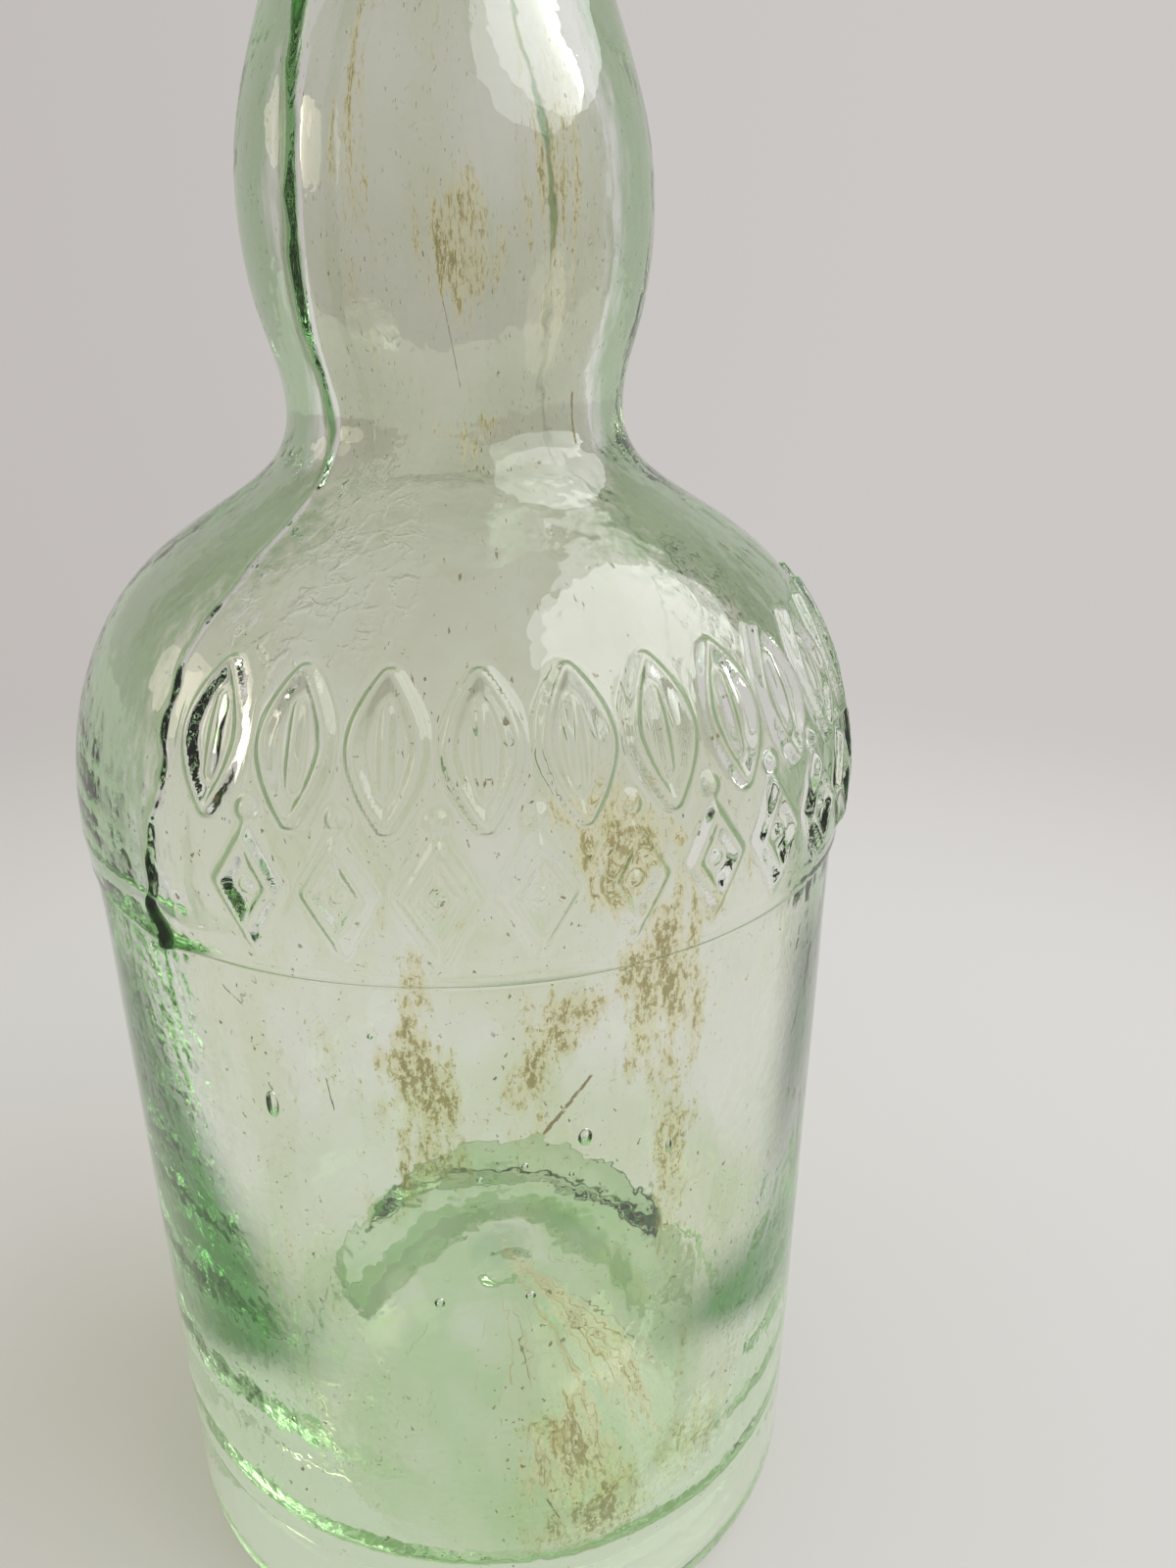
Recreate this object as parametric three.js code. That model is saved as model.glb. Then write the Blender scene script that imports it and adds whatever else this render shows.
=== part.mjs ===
// A round whisky bottle of pale green glass, blown in a three-part mould, with a stopper cork in its mouth.
// Millimetres, +Z up. The origin is the middle of the ring that the bottle stands on.
import * as THREE from "three";

// Body, from the foot to the ring seam where the two shoulder moulds stood on the body mould
const bodyRadius = 47.5; // outside, just under the seam
const bodyTaper = 1.3; // the body is this much slimmer above its heel, so that it left the mould
const heelRadius = 5.6;
const footWidth = 4.7; // flat ring that it stands on
const seamHeight = 105.3;
const seamStep = 0.5; // the shoulder stands this far proud of the body
const seamRise = 0.8;

// Shoulder and neck: each height is counted from the station below it
const shoulderSwell = 0.9; // the shoulder is this much wider than the body
const swellHeight = 5.5; // from the seam to the widest place
const slopeRadius = 37.2; // a place halfway up the dome of the shoulder
const slopeHeight = 28.9;
const slopeLean = 48.4; // degrees from upright
const waistRadius = 19.8; // narrowest place between the shoulder and the swollen neck
const waistHeight = 16.8;
const bulbRadius = 23.2; // widest place of the swollen neck
const bulbHeight = 21.3;
const neckHeight = 38.9; // up to the lip

// Handles that shape the curves between those stations
const swellHandle = 2.6;
const domeHandle = 10.0;
const slopeHandleBelow = 11.5;
const slopeHandleAbove = 10.2;
const waistHandleBelow = 8.3;
const waistHandleAbove = 6.5;
const bulbHandleBelow = 12.2;
const bulbHandleAbove = 14.8;
const neckHandle = 17.4;

// Mouth and lip: a straight bore for the cork, with a string ring and a collar laid on by hand round it
const boreRadius = 10.3;
const boreRunOn = 2.1; // the bore goes on this far below the cork
const lipWall = 4.7; // glass round the bore under the lip
const ringProud = 2.3; // beyond the neck
const ringHeight = 4.7;
const collarProud = 3.1;
const collarHeight = 14.4;
const collarTaper = 0.9; // the collar is slimmer at its top
const collarRound = 2.3;
const mouthRound = 1.2;

// Inside of the glass
const bodyWall = 3.8;
const neckWall = 4.5;
const boreHandle = 13.4; // eases the swollen neck into the bore
const floorThickness = 8.8; // between the push-up and the middle of the floor
const floorFlat = 25.7; // radius of the floor's level middle
const floorHandle = 5.1;
const valleyRadius = 36.6; // lowest place inside, round the foot of the raised floor
const valleyHeight = 11.3;
const valleyHandle = 2.6;
const heelRise = 52.5; // from the valley to where the wall is even
const heelLean = 2.1; // how far the wall's lower part leans in, so that the glass thickens downwards

// Push-up under the base, with the small boss that the mould's plug left at its top
const puntHeight = 19.6;
const puntFlat = 6.2; // radius of its level top
const puntHandle = 13.4;
const puntRound = 7.2; // rolled edge between the push-up and the foot
const bossRadius = 3.7;
const bossHeight = 1.2;

// Stopper: a cork on a dowel, under a turned wooden head
const corkLength = 25.8; // in the bore
const corkTaper = 0.5;
const corkChamfer = 1.0;
const socketDepth = 4.1; // the cork's top is let into the head
const headOverhang = 1.1; // beyond the lip
const headCap = 4.8; // wood above the dowel
const headFoot = 3.7; // plain band above the lip
const coveHeight = 4.2; // groove round the head
const coveDepth = 1.8;
const headCrown = 3.3; // height of the domed top
const crownHandle = 9.3;
const headEdge = 0.8;
const dowelRadius = 2.7;
const dowelInHead = 6.2;
const dowelInCork = 14.4;
const dowelChamfer = 0.5;

// Clearances
const seatGap = 0.3; // head to lip, and cork to its socket
const corkFit = 0.3; // cork to bore
const dowelFit = 0.3;

// Fineness
const glassSides = 40;
const headSides = 32;
const slimSides = 20;
const curveSteps = 5;
const arcSteps = 3; // to a quarter of a circle

const quarter = Math.PI / 2;

// Heights and radii that follow from those
const swellZ = seamHeight + swellHeight;
const slopeZ = swellZ + slopeHeight;
const waistZ = slopeZ + waistHeight;
const bulbZ = waistZ + bulbHeight;
const neckZ = bulbZ + neckHeight;
const ringTopZ = neckZ + ringHeight;
const lipZ = ringTopZ + collarHeight;
const baseRadius = bodyRadius - bodyTaper;
const footRadius = baseRadius - heelRadius;
const neckRadius = boreRadius + lipWall;
const collarRadius = neckRadius + collarProud;
const lipRadius = collarRadius - collarTaper;
const corkRadius = boreRadius - corkFit;
const drillRadius = dowelRadius + dowelFit;
const headZ = lipZ + seatGap;
const socketZ = headZ + socketDepth;

// A place on the outline: its radius and height on the outside face, which way the outline runs there, in
// degrees from upright towards the axis, how far inside that face it lies, and its handles below and above
function station(radius, height, lean, inset, below, above) {
  const angle = THREE.MathUtils.degToRad(lean);
  return {
    point: new THREE.Vector2(radius - inset * Math.cos(angle), height - inset * Math.sin(angle)),
    run: new THREE.Vector2(-Math.sin(angle), Math.cos(angle)),
    below,
    above,
  };
}

// The shoulder and neck, from the shoulder's widest place to the foot of the lip
function shoulderAndNeck(bodyInset, neckInset) {
  return [
    station(bodyRadius + shoulderSwell, swellZ, 0, bodyInset, swellHandle, domeHandle),
    station(slopeRadius, slopeZ, slopeLean, bodyInset, slopeHandleBelow, slopeHandleAbove),
    station(waistRadius, waistZ, 0, neckInset, waistHandleBelow, waistHandleAbove),
    station(bulbRadius, bulbZ, 0, neckInset, bulbHandleBelow, bulbHandleAbove),
    station(neckRadius, neckZ, 0, neckInset, neckHandle, 0),
  ];
}

// Runs a path on from one station to the next with a cubic curve
function curveBetween(path, from, to) {
  const leaving = from.point.clone().addScaledVector(from.run, from.above);
  const arriving = to.point.clone().addScaledVector(to.run, -to.below);
  path.bezierCurveTo(leaving.x, leaving.y, arriving.x, arriving.y, to.point.x, to.point.y);
}

// Points along a path: both ends of a straight stretch, and a few steps on each arc and curve
function pointsAlong(path) {
  const points = [path.curves[0].getPoint(0)];
  for (const curve of path.curves) {
    let steps = curveSteps;
    if (curve.isLineCurve) steps = 1;
    if (curve.isEllipseCurve) {
      const sweep = Math.abs(curve.aEndAngle - curve.aStartAngle);
      steps = Math.round((arcSteps * sweep) / quarter);
    }
    points.push(...curve.getPoints(steps).slice(1));
  }
  const apart = (point, index) => index === 0 || point.distanceTo(points[index - 1]) > 1e-4;
  return points.filter(apart);
}

// Turns an outline, which starts and ends on the axis, into a solid of revolution about +Z
function turned(outline, sides) {
  const onAxis = (point) => new THREE.Vector2(Math.max(point.x, 0), point.y);
  return new THREE.LatheGeometry(outline.map(onAxis), sides).rotateX(quarter);
}

// Outside of the glass, from the middle of the push-up to the mouth
function glassOutside() {
  const path = new THREE.Path();
  const puntEdge = footRadius - footWidth;
  const bossZ = puntHeight - bossHeight;
  path.moveTo(0, bossZ);
  path.bezierCurveTo(bossRadius / 2, bossZ, bossRadius / 2, puntHeight, bossRadius, puntHeight);
  path.lineTo(puntFlat, puntHeight);
  path.bezierCurveTo(
    puntFlat + puntHandle, puntHeight,
    puntEdge - puntRound, puntRound,
    puntEdge, 0,
  );
  path.lineTo(footRadius, 0);
  path.absarc(footRadius, heelRadius, heelRadius, -quarter, 0, false);
  path.lineTo(bodyRadius, seamHeight);

  const proud = station(bodyRadius + seamStep, seamHeight + seamRise, 0, 0, 0, swellHandle / 2);
  path.lineTo(proud.point.x, proud.point.y);
  const stations = [proud, ...shoulderAndNeck(0, 0)];
  stations.slice(1).forEach((next, index) => curveBetween(path, stations[index], next));

  const ringRound = ringHeight / 2;
  path.absellipse(neckRadius, neckZ + ringRound, ringProud, ringRound, -quarter, quarter, false, 0);
  path.lineTo(collarRadius - mouthRound, ringTopZ);
  path.absarc(collarRadius - mouthRound, ringTopZ + mouthRound, mouthRound, -quarter, 0, false);
  path.lineTo(lipRadius, lipZ - collarRound);
  path.absarc(lipRadius - collarRound, lipZ - collarRound, collarRound, 0, quarter, false);
  path.lineTo(boreRadius + mouthRound, lipZ);
  path.absarc(boreRadius + mouthRound, lipZ - mouthRound, mouthRound, quarter, 2 * quarter, false);
  return pointsAlong(path);
}

// Inside of the glass, from the middle of the floor up to the bore
function glassInside() {
  const path = new THREE.Path();
  const floorZ = puntHeight + floorThickness;
  const wallRadius = baseRadius - bodyWall;
  const evenZ = valleyHeight + heelRise;
  const [swell, slope, waist, bulb] = shoulderAndNeck(bodyWall, neckWall);
  const bore = station(boreRadius, lipZ - corkLength - boreRunOn, 0, 0, boreHandle, 0);
  path.moveTo(0, floorZ);
  path.lineTo(floorFlat, floorZ);
  path.bezierCurveTo(
    floorFlat + floorHandle, floorZ,
    valleyRadius - valleyHandle, valleyHeight,
    valleyRadius, valleyHeight,
  );
  path.bezierCurveTo(
    valleyRadius + valleyHandle, valleyHeight,
    wallRadius - heelLean, evenZ - heelRise / 2,
    wallRadius, evenZ,
  );
  path.lineTo(bodyRadius - bodyWall, seamHeight);
  path.lineTo(swell.point.x, swell.point.y);
  curveBetween(path, swell, slope);
  curveBetween(path, slope, waist);
  curveBetween(path, waist, bulb);
  curveBetween(path, bulb, bore);
  return pointsAlong(path);
}

function glassBottle() {
  return turned([...glassOutside(), ...glassInside().reverse()], glassSides);
}

// Cork, drilled for the dowel from its top
function corkShank() {
  const topZ = socketZ - seatGap;
  const bottomZ = lipZ - corkLength;
  const bottomRadius = corkRadius - corkTaper;
  const drillZ = socketZ - dowelInCork - dowelFit;
  const path = new THREE.Path();
  path.moveTo(0, bottomZ);
  path.lineTo(bottomRadius - corkChamfer, bottomZ);
  path.lineTo(bottomRadius, bottomZ + corkChamfer);
  path.lineTo(corkRadius, lipZ);
  path.lineTo(corkRadius, topZ);
  path.lineTo(drillRadius, topZ);
  path.lineTo(drillRadius, drillZ);
  path.lineTo(0, drillZ);
  return turned(pointsAlong(path), slimSides);
}

// Turned head: a foot band, a cove and a crown, with a socket for the cork and a hole for the dowel below
function stopperHead() {
  const headRadius = lipRadius + headOverhang;
  const socketRadius = corkRadius + seatGap;
  const drillZ = socketZ + dowelInHead + dowelFit;
  const topZ = drillZ + headCap;
  const coveZ = headZ + headFoot;
  const path = new THREE.Path();
  path.moveTo(0, drillZ);
  path.lineTo(drillRadius, drillZ);
  path.lineTo(drillRadius, socketZ);
  path.lineTo(socketRadius, socketZ);
  path.lineTo(socketRadius, headZ);
  path.lineTo(headRadius - headEdge, headZ);
  path.absarc(headRadius - headEdge, headZ + headEdge, headEdge, -quarter, 0, false);
  path.lineTo(headRadius, coveZ);
  path.quadraticCurveTo(headRadius - 2 * coveDepth, coveZ + coveHeight / 2, headRadius, coveZ + coveHeight);
  path.lineTo(headRadius, topZ - headCrown);
  path.bezierCurveTo(headRadius, topZ, crownHandle, topZ, 0, topZ);
  return turned(pointsAlong(path), headSides);
}

// Hardwood dowel, glued half in the head and half in the cork
function stopperDowel() {
  const bottomZ = socketZ - dowelInCork;
  const topZ = socketZ + dowelInHead;
  const path = new THREE.Path();
  path.moveTo(0, bottomZ);
  path.lineTo(dowelRadius - dowelChamfer, bottomZ);
  path.lineTo(dowelRadius, bottomZ + dowelChamfer);
  path.lineTo(dowelRadius, topZ - dowelChamfer);
  path.lineTo(dowelRadius - dowelChamfer, topZ);
  path.lineTo(0, topZ);
  return turned(pointsAlong(path), slimSides);
}

const glass = new THREE.MeshStandardMaterial({
  color: "#b9ccae",
  roughness: 0.06,
  metalness: 0,
  transparent: true,
  opacity: 0.4,
});
const cork = new THREE.MeshStandardMaterial({ color: "#b98a5a", roughness: 0.9, metalness: 0 });
const boxwood = new THREE.MeshStandardMaterial({ color: "#8a5a32", roughness: 0.5, metalness: 0 });
const beech = new THREE.MeshStandardMaterial({ color: "#d0aa78", roughness: 0.7, metalness: 0 });

function piece(name, geometry, material) {
  const mesh = new THREE.Mesh(geometry, material);
  mesh.name = name;
  return mesh;
}

const stopper = new THREE.Group();
stopper.add(
  piece("cork_shank", corkShank(), cork),
  piece("stopper_head", stopperHead(), boxwood),
  piece("stopper_dowel", stopperDowel(), beech),
);

const bottle = new THREE.Group();
bottle.add(piece("glass_bottle", glassBottle(), glass), stopper);

export default bottle;
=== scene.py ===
import math
from functools import reduce

import bpy
import numpy as np
from mathutils import Matrix, Vector, noise


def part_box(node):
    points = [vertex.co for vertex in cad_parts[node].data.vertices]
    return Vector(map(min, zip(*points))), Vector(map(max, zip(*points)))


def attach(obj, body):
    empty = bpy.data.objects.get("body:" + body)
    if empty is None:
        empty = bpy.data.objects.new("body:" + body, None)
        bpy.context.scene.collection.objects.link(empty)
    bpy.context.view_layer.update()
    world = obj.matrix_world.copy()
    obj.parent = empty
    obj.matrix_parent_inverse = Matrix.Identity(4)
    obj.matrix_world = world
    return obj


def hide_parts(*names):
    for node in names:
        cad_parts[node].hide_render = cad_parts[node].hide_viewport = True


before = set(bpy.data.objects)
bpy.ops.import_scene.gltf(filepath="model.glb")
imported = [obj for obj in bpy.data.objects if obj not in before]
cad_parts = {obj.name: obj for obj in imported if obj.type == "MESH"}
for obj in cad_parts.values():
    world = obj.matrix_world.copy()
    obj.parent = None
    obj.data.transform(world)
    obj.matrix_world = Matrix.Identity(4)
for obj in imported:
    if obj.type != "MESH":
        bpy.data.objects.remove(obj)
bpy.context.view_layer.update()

_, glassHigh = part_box("glass_bottle")
drawnHeight = 229.0  # height of the glass in the millimetres that the outlines below are drawn in
mm = glassHigh.z / drawnHeight  # metres in one of them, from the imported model

scene = bpy.context.scene
scene.view_settings.view_transform = "Standard"
scene.cycles.max_bounces = 24
scene.cycles.transmission_bounces = 24
scene.cycles.glossy_bounces = 24
print("frame: glass", round(glassHigh.z, 4), "m high")


# Shader maths

class Wire:  # a shader socket that takes Python's operators
    def __init__(self, finish, socket):
        self.finish = finish
        self.socket = socket

    def maths(self, operation, first, second):
        return self.finish.node("Math", {"operation": operation}, {0: first, 1: second})

    def __add__(self, other):
        return self.maths("ADD", self, other)

    def __radd__(self, other):
        return self.maths("ADD", other, self)

    def __sub__(self, other):
        return self.maths("SUBTRACT", self, other)

    def __rsub__(self, other):
        return self.maths("SUBTRACT", other, self)

    def __mul__(self, other):
        return self.maths("MULTIPLY", self, other)

    def __rmul__(self, other):
        return self.maths("MULTIPLY", other, self)

    def __truediv__(self, other):
        return self.maths("DIVIDE", self, other)

    def __rtruediv__(self, other):
        return self.maths("DIVIDE", other, self)

    def __pow__(self, other):
        return self.maths("POWER", self, other)

    def __rpow__(self, other):
        return self.maths("POWER", other, self)

    def least(self, other):
        return self.maths("MINIMUM", self, other)

    def most(self, other):
        return self.maths("MAXIMUM", self, other)

    def ramp(self, low, high):  # 0 below low, 1 above high, eased between
        settings = {"interpolation_type": "SMOOTHSTEP"}
        return self.finish.node("MapRange", settings, {"Value": self, "From Min": low, "From Max": high})

    def output(self, name):  # another output of the same node
        return Wire(self.finish, self.socket.node.outputs[name])


class Finish:  # a material, or the world, built from nodes
    def __init__(self, owner):
        owner.use_nodes = True
        self.owner = owner
        self.tree = owner.node_tree
        self.tree.nodes.clear()

    def node(self, kind, settings=None, sockets=None, output=0):
        made = self.tree.nodes.new("ShaderNode" + kind)
        for key, value in (settings or {}).items():
            setattr(made, key, value)
        for key, value in (sockets or {}).items():
            socket = made.inputs[key]
            if isinstance(value, Wire):
                self.tree.links.new(value.socket, socket)
            elif hasattr(value, "__len__") and len(value) == 3 and socket.type == "RGBA":
                socket.default_value = (*value, 1.0)
            else:
                socket.default_value = value
        return Wire(self, made.outputs[output]) if made.outputs else made

    def blend(self, share, first, second):  # two colours
        settings = {"data_type": "RGBA"}
        return self.node("Mix", settings, {0: share, 6: first, 7: second}, output=2)

    def vector(self, x, y, z):
        return self.node("CombineXYZ", {}, {0: x, 1: y, 2: z})

    def patches(self, vector, detail=3.0, rough=0.6):  # soft noise, mostly from 0.3 to 0.7
        sockets = {"Vector": vector, "Scale": 1.0, "Detail": detail, "Roughness": rough}
        return self.node("TexNoise", {}, sockets)

    def places(self):  # where a point lies on its piece, in drawn millimetres
        parts = self.node("SeparateXYZ", {}, {0: self.node("TexCoord", output="Object")})
        return [parts.output(axis) / mm for axis in "XYZ"]


def newFinish(name):
    return Finish(bpy.data.materials.new(name))


# Outlines, drawn as radius and height

class Outline:
    def __init__(self, radius, height):
        self.points = [(radius, height)]

    def line(self, radius, height, steps=1):
        start = np.array(self.points[-1])
        share = np.linspace(0, 1, steps + 1)[1:, None]
        self.points += [tuple(p) for p in start + (np.array((radius, height)) - start) * share]
        return self

    def cubic(self, leaving, arriving, end, steps):
        a, b, c, d = (np.array(p, float) for p in (self.points[-1], leaving, arriving, end))
        t = np.linspace(0, 1, steps + 1)[1:, None]
        curve = a * (1 - t) ** 3 + 3 * b * t * (1 - t) ** 2 + 3 * c * t**2 * (1 - t) + d * t**3
        self.points += [tuple(p) for p in curve]
        return self

    def arc(self, centre, radii, start, end, steps):  # angles in degrees, from straight outwards
        angle = np.radians(np.linspace(start, end, steps + 1)[1:])
        across, along = radii
        self.points += list(zip(centre[0] + across * np.cos(angle), centre[1] + along * np.sin(angle)))
        return self

    def array(self):
        return np.array(self.points, float)


def normals(outline):  # which way the surface faces at each point of an outline
    run = np.gradient(outline, axis=0)
    run /= np.linalg.norm(run, axis=1, keepdims=True)
    return np.column_stack((run[:, 1], -run[:, 0]))


def around(outline, angles, lift=0.0):
    # points of a turned surface; angle 0 faces the camera's side, and lift moves a point off the outline
    facing = normals(outline)
    radius = np.maximum(outline[:, :1] + facing[:, :1] * lift, 0)
    height = outline[:, 1:] + facing[:, 1:] * lift
    radius, height, angle = np.broadcast_arrays(radius, height, angles)
    return np.stack((radius * np.sin(angle), -radius * np.cos(angle), height), axis=-1)


def ringFaces(low, lowCount, high, highCount):
    # faces between two rings; one may have a whole number of times as many points as the other
    if lowCount == 1:
        return [(low, high + (i + 1) % highCount, high + i) for i in range(highCount)]
    if highCount == 1:
        return [(low + i, low + (i + 1) % lowCount, high) for i in range(lowCount)]
    sides = min(lowCount, highCount)
    below, above = lowCount // sides, highCount // sides
    faces = []
    for i in range(sides):
        lower = [low + j % lowCount for j in range(i * below, (i + 1) * below + 1)]
        upper = [high + j % highCount for j in range(i * above, (i + 1) * above + 1)]
        faces.append((*lower, *upper[::-1]))
    return faces


def turnedShell(points):
    # vertices and faces from rings of points; the first and last rings shrink to a point on the axis
    rings = [points[0][:1], *points[1:-1], points[-1][:1]]
    first = np.cumsum([0] + [len(ring) for ring in rings])
    faces = []
    for row, (lower, upper) in enumerate(zip(rings, rings[1:])):
        faces += ringFaces(first[row], len(lower), first[row + 1], len(upper))
    return np.vstack(rings), faces


def joinShells(name, shells):
    vertices, faces = [], []
    for points, corners in shells:
        first = sum(len(v) for v in vertices)
        vertices.append(points)
        faces += [tuple(int(i) + first for i in face) for face in corners]
    mesh = bpy.data.meshes.new(name)
    mesh.from_pydata((np.vstack(vertices) * mm).tolist(), [], faces)
    mesh.shade_smooth()
    return mesh


def addPiece(name, mesh, finish, body, slot, *replaced):
    piece = bpy.data.objects.new(name, mesh)
    scene.collection.objects.link(piece)
    mesh.materials.append(finish.owner)
    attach(piece, body)
    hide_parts(*replaced)


def evenAngles(count):
    return np.linspace(-math.pi, math.pi, count, endpoint=False)


def turnAway(angles, middle):  # how far round from the middle, from -pi to pi
    return (angles - middle + math.pi) % (2 * math.pi) - math.pi


def lumps(points, size, stretch=1.0, shift=0.0):
    # smooth bumps about as wide as size, longer upwards by stretch
    scale = np.array((1, 1, 1 / stretch)) / size
    flat = points.reshape(-1, 3) * scale + shift
    return np.array([noise.noise(p) for p in flat]).reshape(points.shape[:-1])


def ease(value, low, high):
    share = np.clip((value - low) / (high - low), 0, 1)
    return share * share * (3 - 2 * share)


# Glass

glass = dict(
    bodyRadius=46.1, bodyTaper=1.3, heelRadius=5.4, footWidth=4.6,
    seamHeight=102.2, seamStep=0.5, seamRise=0.8,
    shoulderSwell=0.9, swellHeight=5.3, slopeRadius=36.1, slopeHeight=28.1, slopeLean=48.4,
    waistRadius=19.2, waistHeight=16.3, bulbRadius=22.5, bulbHeight=20.7, neckHeight=37.8,
    swellHandle=2.5, domeHandle=9.7, slopeHandles=(11.2, 9.9), waistHandles=(8.1, 6.3),
    bulbHandles=(11.8, 14.4), neckHandle=16.9,
    boreRadius=10.0, boreEnd=202.0, boreHandle=13.0, lipWall=4.6,
    ringProud=2.2, ringHeight=4.6, collarProud=3.0, collarHeight=14.0, collarTaper=0.9,
    collarRound=2.2, mouthRound=1.2,
    bodyWall=3.7, neckWall=4.4, floorThickness=8.5, floorFlat=25.0, floorHandle=5.0,
    valleyRadius=35.5, valleyHeight=11.0, valleyHandle=2.5, heelRise=51.0, heelLean=2.0,
    puntHeight=19.0, puntFlat=6.0, puntHandle=13.0, puntRound=7.0, bossRadius=4.2, bossHeight=1.8,
    nubRadius=3.3, nubHeight=2.6, corkZone=(185, 203),  # the waves inside fade out between these heights
    # height, and how far the hollow is off to +X there
    offCentre=((18, 2.0), (60, 1.3), (105, 1.2), (135, 0.5), (155, 0.0)),
)

mould = dict(
    seamAngle=-42.5,  # degrees; the other upright seam is opposite
    seamProud=(  # height, and how far the rib stands out there
        (102, 1.0), (105, 0.75), (109, 0.4), (116, 0.3), (140, 0.26),
        (150, 0.34), (160, 0.55), (172, 0.75), (200, 0.7),
    ),
    seamWidth=0.55, seamWander=1.2, seamEnd=(196, 206),  # the ribs end between these heights, under the lip
    ringWidth=0.4, ringProud=0.3, ringBlob=0.6, shadedAt=0.6,  # a rib this high has its whole painted shade
    wave=0.09, ripple=0.055, innerWave=0.4, innerRipple=0.1,
)

leafBand = dict(  # cast ornament between the upright seams on one half of the shoulder
    first=-33.0, last=128.0, count=15, proud=1.0, line=0.85,
    rows=(100, 136), dome=(98, 145),  # heights with a fine mesh, and heights along which it is measured
    leafZ=125.4, leafTall=14.5, leafWide=6.2,
    pelletZ=119.4, pelletRadius=1.6,
    lozengeZ=112.2, lozengeTall=9.0, lozengeWide=5.6, knob=1.2,
)

# angle and height of each bubble, its depth in the wall, and its half size across, upwards and deep
bubbles = (
    (-29.0, 85.6, 1.3, 0.8, 1.7, 0.6), (13.3, 82.0, 1.6, 0.8, 1.1, 0.7), (-7.3, 61.7, 1.4, 0.6, 0.7, 0.5),
    (5.4, 61.8, 1.6, 0.6, 0.6, 0.5), (5.0, 79.6, 1.5, 0.4, 0.4, 0.4), (-1.0, 78.3, 1.5, 0.35, 0.4, 0.35),
    (11.3, 77.7, 1.2, 0.3, 0.4, 0.3), (25.9, 77.8, 1.0, 0.4, 0.8, 0.3), (-14.0, 96.0, 1.2, 0.3, 0.35, 0.3),
    (58.0, 71.0, 1.5, 0.5, 0.9, 0.5), (96.0, 88.0, 1.4, 0.6, 1.2, 0.5), (-112.0, 64.0, 1.4, 0.5, 1.1, 0.5),
    (170.0, 92.0, 1.5, 0.6, 0.8, 0.5), (-70.0, 76.0, 1.3, 0.4, 0.7, 0.4),
)


def station(radius, height, lean, inset, below, above):
    angle = math.radians(lean)
    run = np.array((-math.sin(angle), math.cos(angle)))
    point = np.array((radius - inset * math.cos(angle), height - inset * math.sin(angle)))
    return dict(point=point, below=point - run * below, above=point + run * above)


def shoulderAndNeck(bodyInset, neckInset):
    g = glass
    swellRadius = g["bodyRadius"] + g["shoulderSwell"]
    swellZ = g["seamHeight"] + g["swellHeight"]
    slopeZ = swellZ + g["slopeHeight"]
    waistZ = slopeZ + g["waistHeight"]
    bulbZ = waistZ + g["bulbHeight"]
    neckZ = bulbZ + g["neckHeight"]
    return [
        station(swellRadius, swellZ, 0, bodyInset, g["swellHandle"], g["domeHandle"]),
        station(g["slopeRadius"], slopeZ, g["slopeLean"], bodyInset, *g["slopeHandles"]),
        station(g["waistRadius"], waistZ, 0, neckInset, *g["waistHandles"]),
        station(g["bulbRadius"], bulbZ, 0, neckInset, *g["bulbHandles"]),
        station(g["boreRadius"] + g["lipWall"], neckZ, 0, neckInset, g["neckHandle"], 0),
    ]


def glassOutside():
    g = glass
    baseRadius = g["bodyRadius"] - g["bodyTaper"]
    footRadius = baseRadius - g["heelRadius"]
    puntEdge = footRadius - g["footWidth"]
    boss, punt = g["bossRadius"], g["puntHeight"]
    bossZ = punt - g["bossHeight"]
    path = Outline(0, bossZ)
    path.cubic((boss / 2, bossZ), (boss / 2, punt), (boss, punt), 6)
    path.line(g["puntFlat"], punt, 5)
    leaving, arriving = (g["puntFlat"] + g["puntHandle"], punt), (puntEdge - g["puntRound"], g["puntRound"])
    path.cubic(leaving, arriving, (puntEdge, 0), 14)
    path.line(footRadius, 0, 3)
    path.arc((footRadius, g["heelRadius"]), (g["heelRadius"], g["heelRadius"]), -90, 0, 7)
    path.line(g["bodyRadius"], g["seamHeight"] - 2, 26)
    path.line(g["bodyRadius"], g["seamHeight"], 5)
    seamTop = g["seamHeight"] + g["seamRise"]
    proud = station(g["bodyRadius"] + g["seamStep"], seamTop, 0, 0, 0, g["swellHandle"] / 2)
    path.line(*proud["point"], 4)
    stations = [proud, *shoulderAndNeck(0, 0)]
    for lower, upper, steps in zip(stations, stations[1:], (9, 72, 18, 12, 14)):
        path.cubic(lower["above"], upper["below"], upper["point"], steps)
    neckRadius, neckZ = stations[-1]["point"]
    ringTop = neckZ + g["ringHeight"]
    lip = ringTop + g["collarHeight"]
    collar = neckRadius + g["collarProud"]
    lipRadius = collar - g["collarTaper"]
    mouth, edge = g["mouthRound"], g["collarRound"]
    path.arc((neckRadius, neckZ + g["ringHeight"] / 2), (g["ringProud"], g["ringHeight"] / 2), -90, 90, 7)
    path.line(collar - mouth, ringTop)
    path.arc((collar - mouth, ringTop + mouth), (mouth, mouth), -90, 0, 3)
    path.line(lipRadius, lip - edge, 4)
    path.arc((lipRadius - edge, lip - edge), (edge, edge), 0, 90, 4)
    path.line(g["boreRadius"] + mouth, lip, 2)
    path.arc((g["boreRadius"] + mouth, lip - mouth), (mouth, mouth), 90, 180, 3)
    return path.array()


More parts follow.
